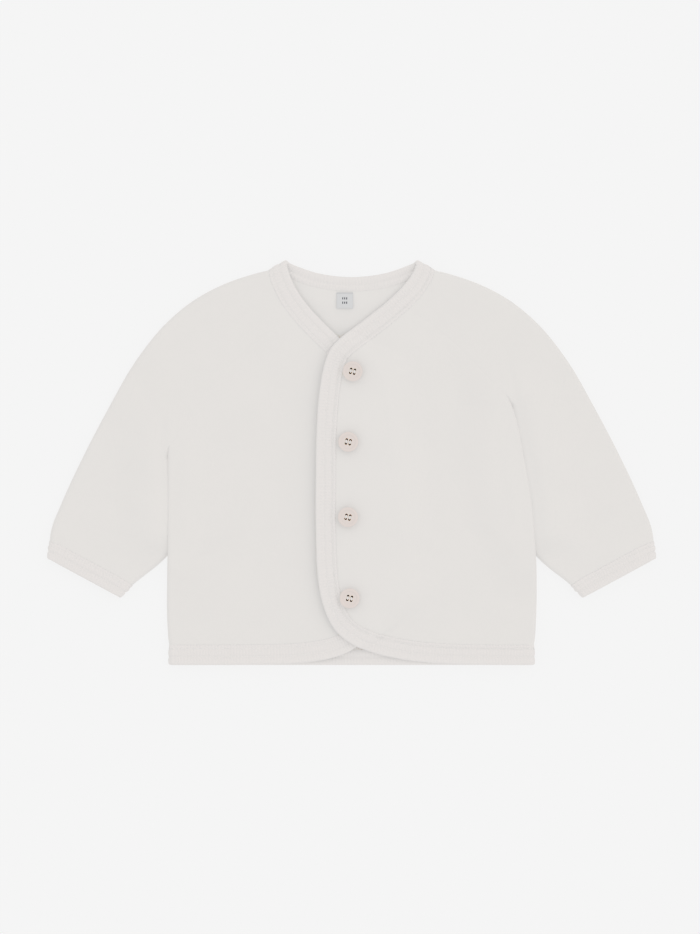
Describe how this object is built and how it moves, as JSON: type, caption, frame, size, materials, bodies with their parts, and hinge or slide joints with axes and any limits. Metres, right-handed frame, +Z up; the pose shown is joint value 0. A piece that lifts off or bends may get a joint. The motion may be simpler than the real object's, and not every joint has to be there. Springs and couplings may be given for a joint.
{
  "type": "baby fleece jacket",
  "caption": "Baby's fleece jacket laid flat, with raglan sleeves, a V neck, rib-bound edges and buttons down its lapped front.",
  "frame": {"origin": "middle of the jacket's outline, on the table it lies on", "axes": "+X across the jacket to the wearer's left, +Y from the hem to the neck, +Z up from the table through the back, then the fronts"},
  "size_m": [0.4268, 0.2818, 0.0155],
  "materials": {
    "fleece": "off-white brushed fleece with a short soft nap",
    "rib": "off-white rib knit, folded over the edges",
    "button": "pale beige, softly shiny, with a raised rim",
    "label": "pale grey woven ribbon, no lettering"
  },
  "bodies": {
    "root": {"back": "fleece", "front_right": "fleece", "front_left": "fleece", "sleeve_right": "fleece", "sleeve_left": "fleece", "front_binding_right": "rib", "front_binding_left": "rib", "neck_binding": "rib", "hem_binding": "rib", "cuff_right": "rib", "cuff_left": "rib", "button_1": "button", "button_2": "button", "button_3": "button", "button_4": "button", "label": "label"}
  },
  "joints": []
}
